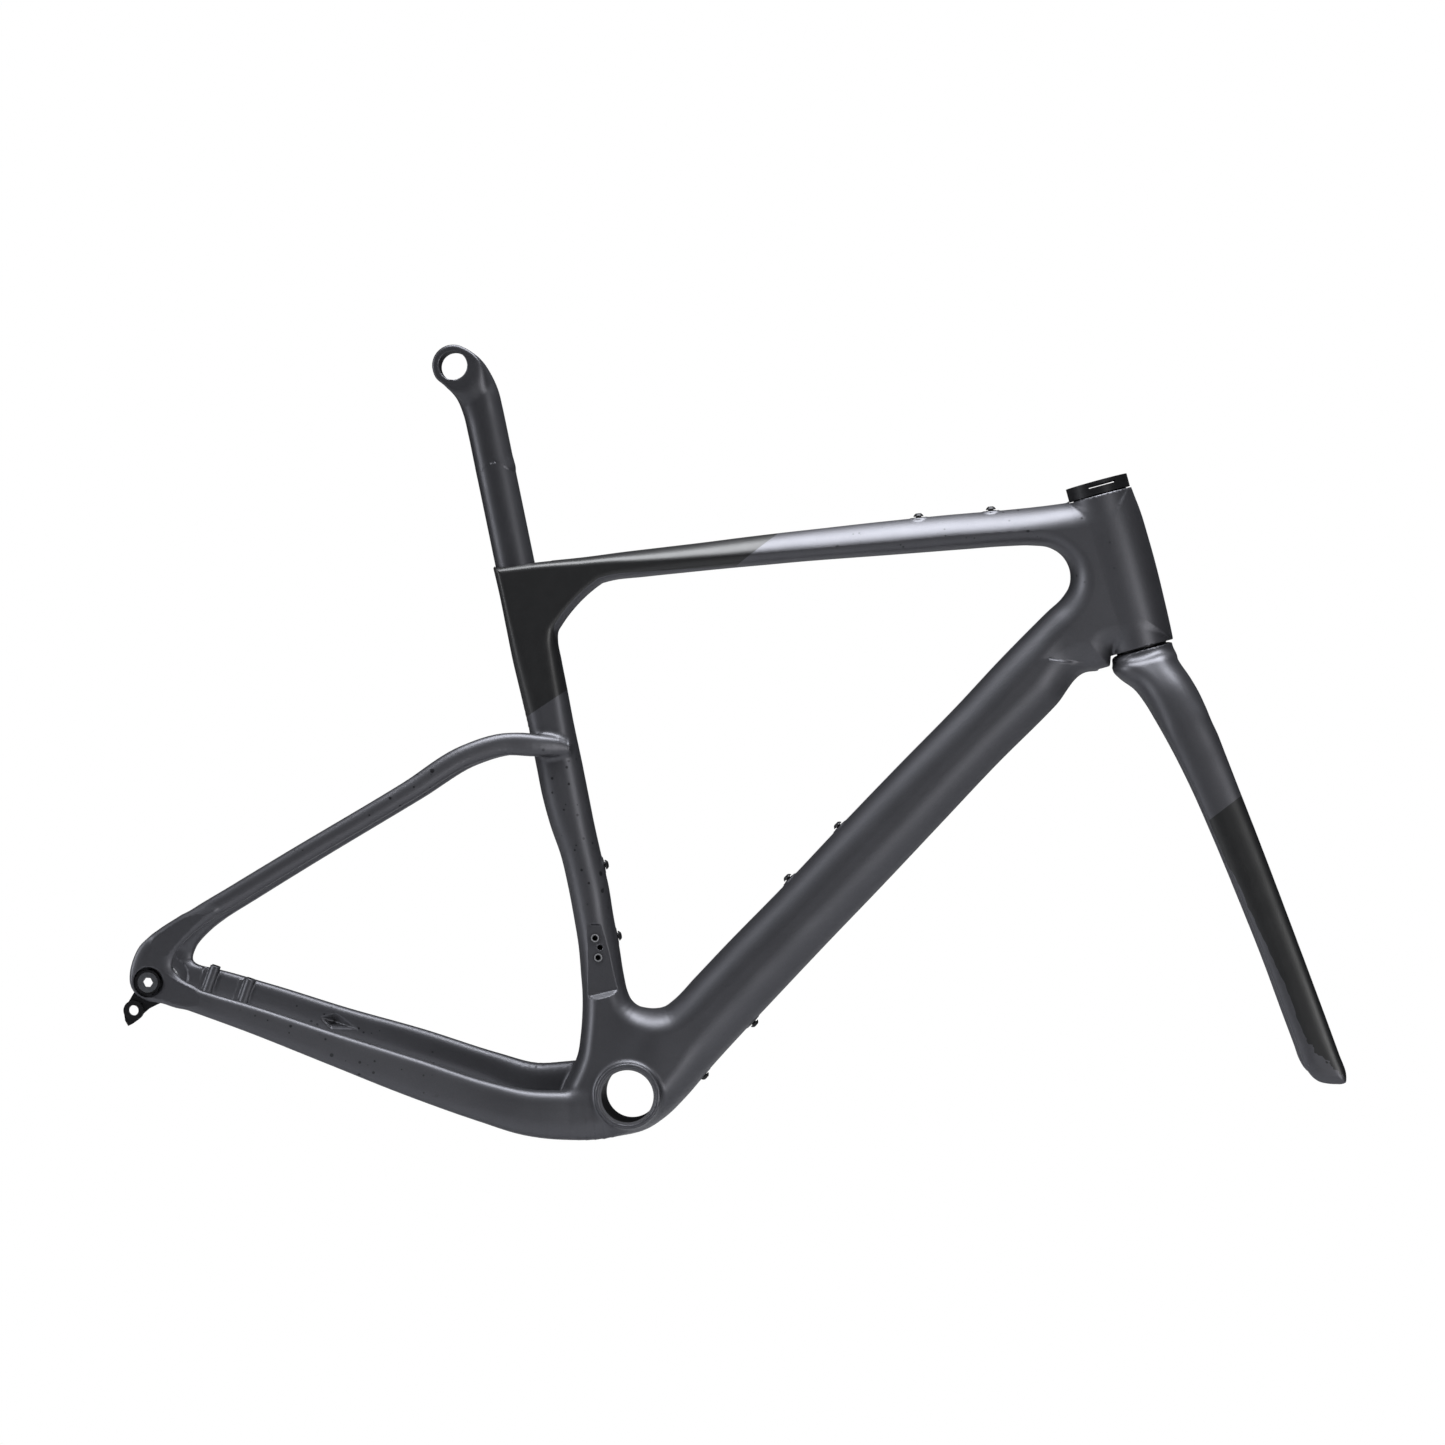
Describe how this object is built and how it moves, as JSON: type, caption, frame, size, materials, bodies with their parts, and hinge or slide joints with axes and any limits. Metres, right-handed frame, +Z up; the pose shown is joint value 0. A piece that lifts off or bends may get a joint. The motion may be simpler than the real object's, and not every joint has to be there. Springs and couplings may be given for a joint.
{
  "type": "bicycle frameset",
  "caption": "Gravel bicycle frameset: moulded frame with dropped stays, fork, oval seatpost, headset, hanger and bottle bosses.",
  "frame": {"origin": "centre of the bottom bracket shell, on its axis and on the middle plane", "axes": "+X forward, +Y to the bicycle's left, +Z up with both wheel axles at one height; the bottom bracket and both wheel axles run along Y"},
  "size_m": [1.0693, 0.1626, 0.6936],
  "materials": {
    "satin_grey_carbon": "satin graphite paint over moulded carbon fibre",
    "gloss_black_carbon": "gloss black lacquer with fine sparkle over moulded carbon fibre",
    "satin_black_carbon": "satin black carbon fibre",
    "black_alloy": "black anodised",
    "plain_alloy": "turned, clear anodised",
    "steel": "ground and polished"
  },
  "bodies": {
    "frame": {"head_tube": "satin_grey_carbon", "top_tube": "satin_grey_carbon", "down_tube": "satin_grey_carbon", "seat_tube": "satin_grey_carbon", "seat_lug": "gloss_black_carbon", "bb_shell": "satin_grey_carbon", "bb_sleeve": "plain_alloy", "chainstay_right": "satin_grey_carbon", "chainstay_left": "satin_grey_carbon", "seatstay_right": "satin_grey_carbon", "seatstay_left": "satin_grey_carbon", "dropout_right": "satin_grey_carbon", "dropout_left": "satin_grey_carbon", "rear_axle_insert": "black_alloy", "derailleur_hanger": "black_alloy", "hanger_washer": "black_alloy", "hanger_bolt": "steel", "flat_mount_sleeves": "black_alloy", "front_derailleur_rivnuts": "plain_alloy", "top_tube_rivnuts": "black_alloy", "down_tube_rivnuts": "black_alloy", "down_tube_under_rivnuts": "black_alloy", "seat_tube_rivnuts": "black_alloy", "top_tube_bolts": "black_alloy", "down_tube_bolts": "black_alloy", "down_tube_under_bolts": "black_alloy", "seat_tube_bolts": "black_alloy", "upper_bearing_outer_race": "steel", "lower_bearing_outer_race": "steel", "wedge_shoe": "plain_alloy", "wedge_block": "plain_alloy", "wedge_bolt": "black_alloy"},
    "fork": {"fork_crown": "satin_grey_carbon", "fork_leg_right": "gloss_black_carbon", "fork_leg_left": "gloss_black_carbon", "fork_insert_right": "plain_alloy", "fork_insert_left": "plain_alloy", "steerer": "gloss_black_carbon", "steerer_plug": "black_alloy", "steerer_plug_bolt": "steel", "crown_race": "black_alloy", "compression_ring": "black_alloy", "headset_cover": "black_alloy", "upper_bearing_inner_race": "steel", "upper_bearing_balls": "steel", "lower_bearing_inner_race": "steel", "lower_bearing_balls": "steel"},
    "seatpost": {"seatpost": "satin_black_carbon"}
  },
  "joints": [
    {"name": "steering", "type": "hinge", "parent": "frame", "child": "fork", "pos_m": [0.4245, 0, 0.4235], "axis": [-0.3256, 0, 0.9455], "range_deg": [-60, 60]},
    {"name": "seatpost_height", "type": "slide", "parent": "frame", "child": "seatpost", "axis": [-0.2672, 0, 0.9636], "range_m": [-0.02, 0.06]}
  ]
}
